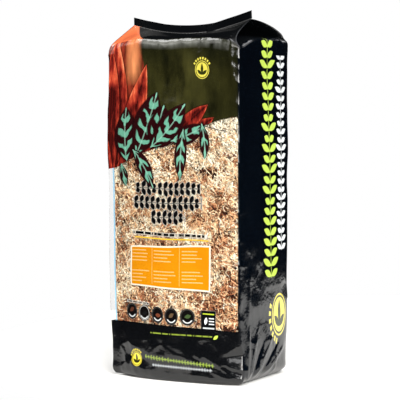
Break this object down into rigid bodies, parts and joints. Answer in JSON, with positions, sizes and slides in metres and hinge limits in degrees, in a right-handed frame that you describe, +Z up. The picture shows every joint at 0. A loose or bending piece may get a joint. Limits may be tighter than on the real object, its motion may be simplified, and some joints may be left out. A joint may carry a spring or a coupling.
{
  "type": "bag of sphagnum moss",
  "caption": "Upright side-gusset film bag with a gable top and a clear front window, filled with dried sphagnum moss.",
  "frame": {"origin": "middle of the flat base, on the surface that the bag stands on", "axes": "+Z up along the bag's height, -Y out of the printed front, +X towards the right side gusset"},
  "size_m": [0.172, 0.1307, 0.42],
  "materials": {
    "printed_film": "gloss printed film, creased",
    "clear_film": "clear gloss film",
    "moss": "dry matte plant fibre",
    "print_ink": "gloss ink printed on clear film"
  },
  "bodies": {
    "root": {"bag_film": "printed_film", "window_film": "clear_film", "moss_fill": "moss"}
  },
  "joints": []
}
